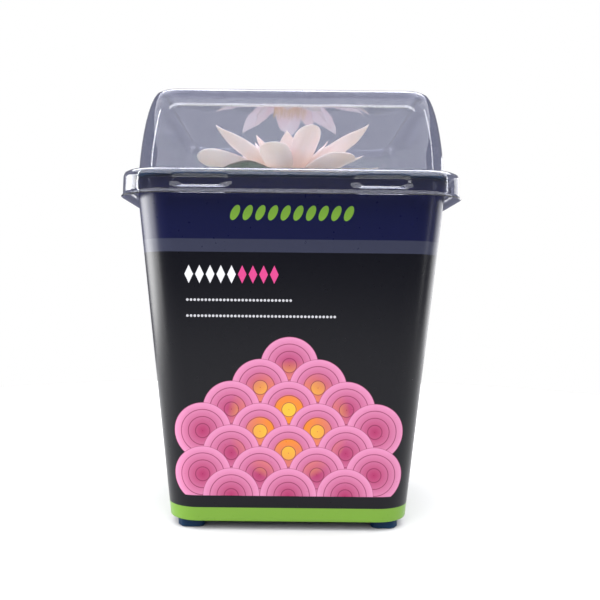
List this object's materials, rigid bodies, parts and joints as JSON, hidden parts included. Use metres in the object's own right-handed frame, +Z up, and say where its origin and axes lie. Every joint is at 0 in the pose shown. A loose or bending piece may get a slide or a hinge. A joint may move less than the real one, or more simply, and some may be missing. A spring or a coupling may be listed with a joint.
{
  "type": "potted water lily in a lidded tub",
  "caption": "Water lily in bloom with floating leaves, planted in coconut fibre in a square tapered tub with a printed sleeve, under a clear push-fit dome lid.",
  "frame": {"origin": "on the surface that the tub stands on, under the middle of the tub", "axes": "+Z up through the middle of the tub and lid, -Y towards the printed front, +X to the right of someone who faces the front"},
  "size_m": [0.1692, 0.1692, 0.2205],
  "materials": {
    "blue_plastic": "satin blue moulded plastic",
    "printed_sleeve": "semi-gloss printed film, near black with navy, slate and green bands",
    "clear_plastic": "clear glossy thermoformed sheet, faint grey-lilac tint",
    "coir": "rough brown coconut fibre",
    "root": "rough dark brown rootstock",
    "pad_green": "waxy green leaf with paler veins",
    "stalk_green": "smooth olive green stalk",
    "sepal_green": "satin pale green flushed with pink",
    "petal_pink": "soft satin cream to pale pink petal with fine veins",
    "stamen_yellow": "soft golden yellow stamens"
  },
  "bodies": {
    "root": {"tub": "blue_plastic", "sleeve": "printed_sleeve", "lid": "clear_plastic", "coir_fill": "coir", "rhizome": "root", "pad_front": "pad_green", "pad_right": "pad_green", "pad_back": "pad_green", "pad_left": "pad_green", "pad_front_stalk": "stalk_green", "pad_right_stalk": "stalk_green", "pad_back_stalk": "stalk_green", "pad_left_stalk": "stalk_green", "flower_stalk": "stalk_green", "receptacle": "sepal_green", "sepal_1": "sepal_green", "sepal_2": "sepal_green", "sepal_3": "sepal_green", "sepal_4": "sepal_green", "outer_petal_1": "petal_pink", "outer_petal_2": "petal_pink", "outer_petal_3": "petal_pink", "outer_petal_4": "petal_pink", "outer_petal_5": "petal_pink", "outer_petal_6": "petal_pink", "outer_petal_7": "petal_pink", "outer_petal_8": "petal_pink", "middle_petal_1": "petal_pink", "middle_petal_2": "petal_pink", "middle_petal_3": "petal_pink", "middle_petal_4": "petal_pink", "middle_petal_5": "petal_pink", "middle_petal_6": "petal_pink", "middle_petal_7": "petal_pink", "middle_petal_8": "petal_pink", "inner_petal_1": "petal_pink", "inner_petal_2": "petal_pink", "inner_petal_3": "petal_pink", "inner_petal_4": "petal_pink", "inner_petal_5": "petal_pink", "inner_petal_6": "petal_pink", "inner_petal_7": "petal_pink", "stamens": "stamen_yellow"}
  },
  "joints": []
}
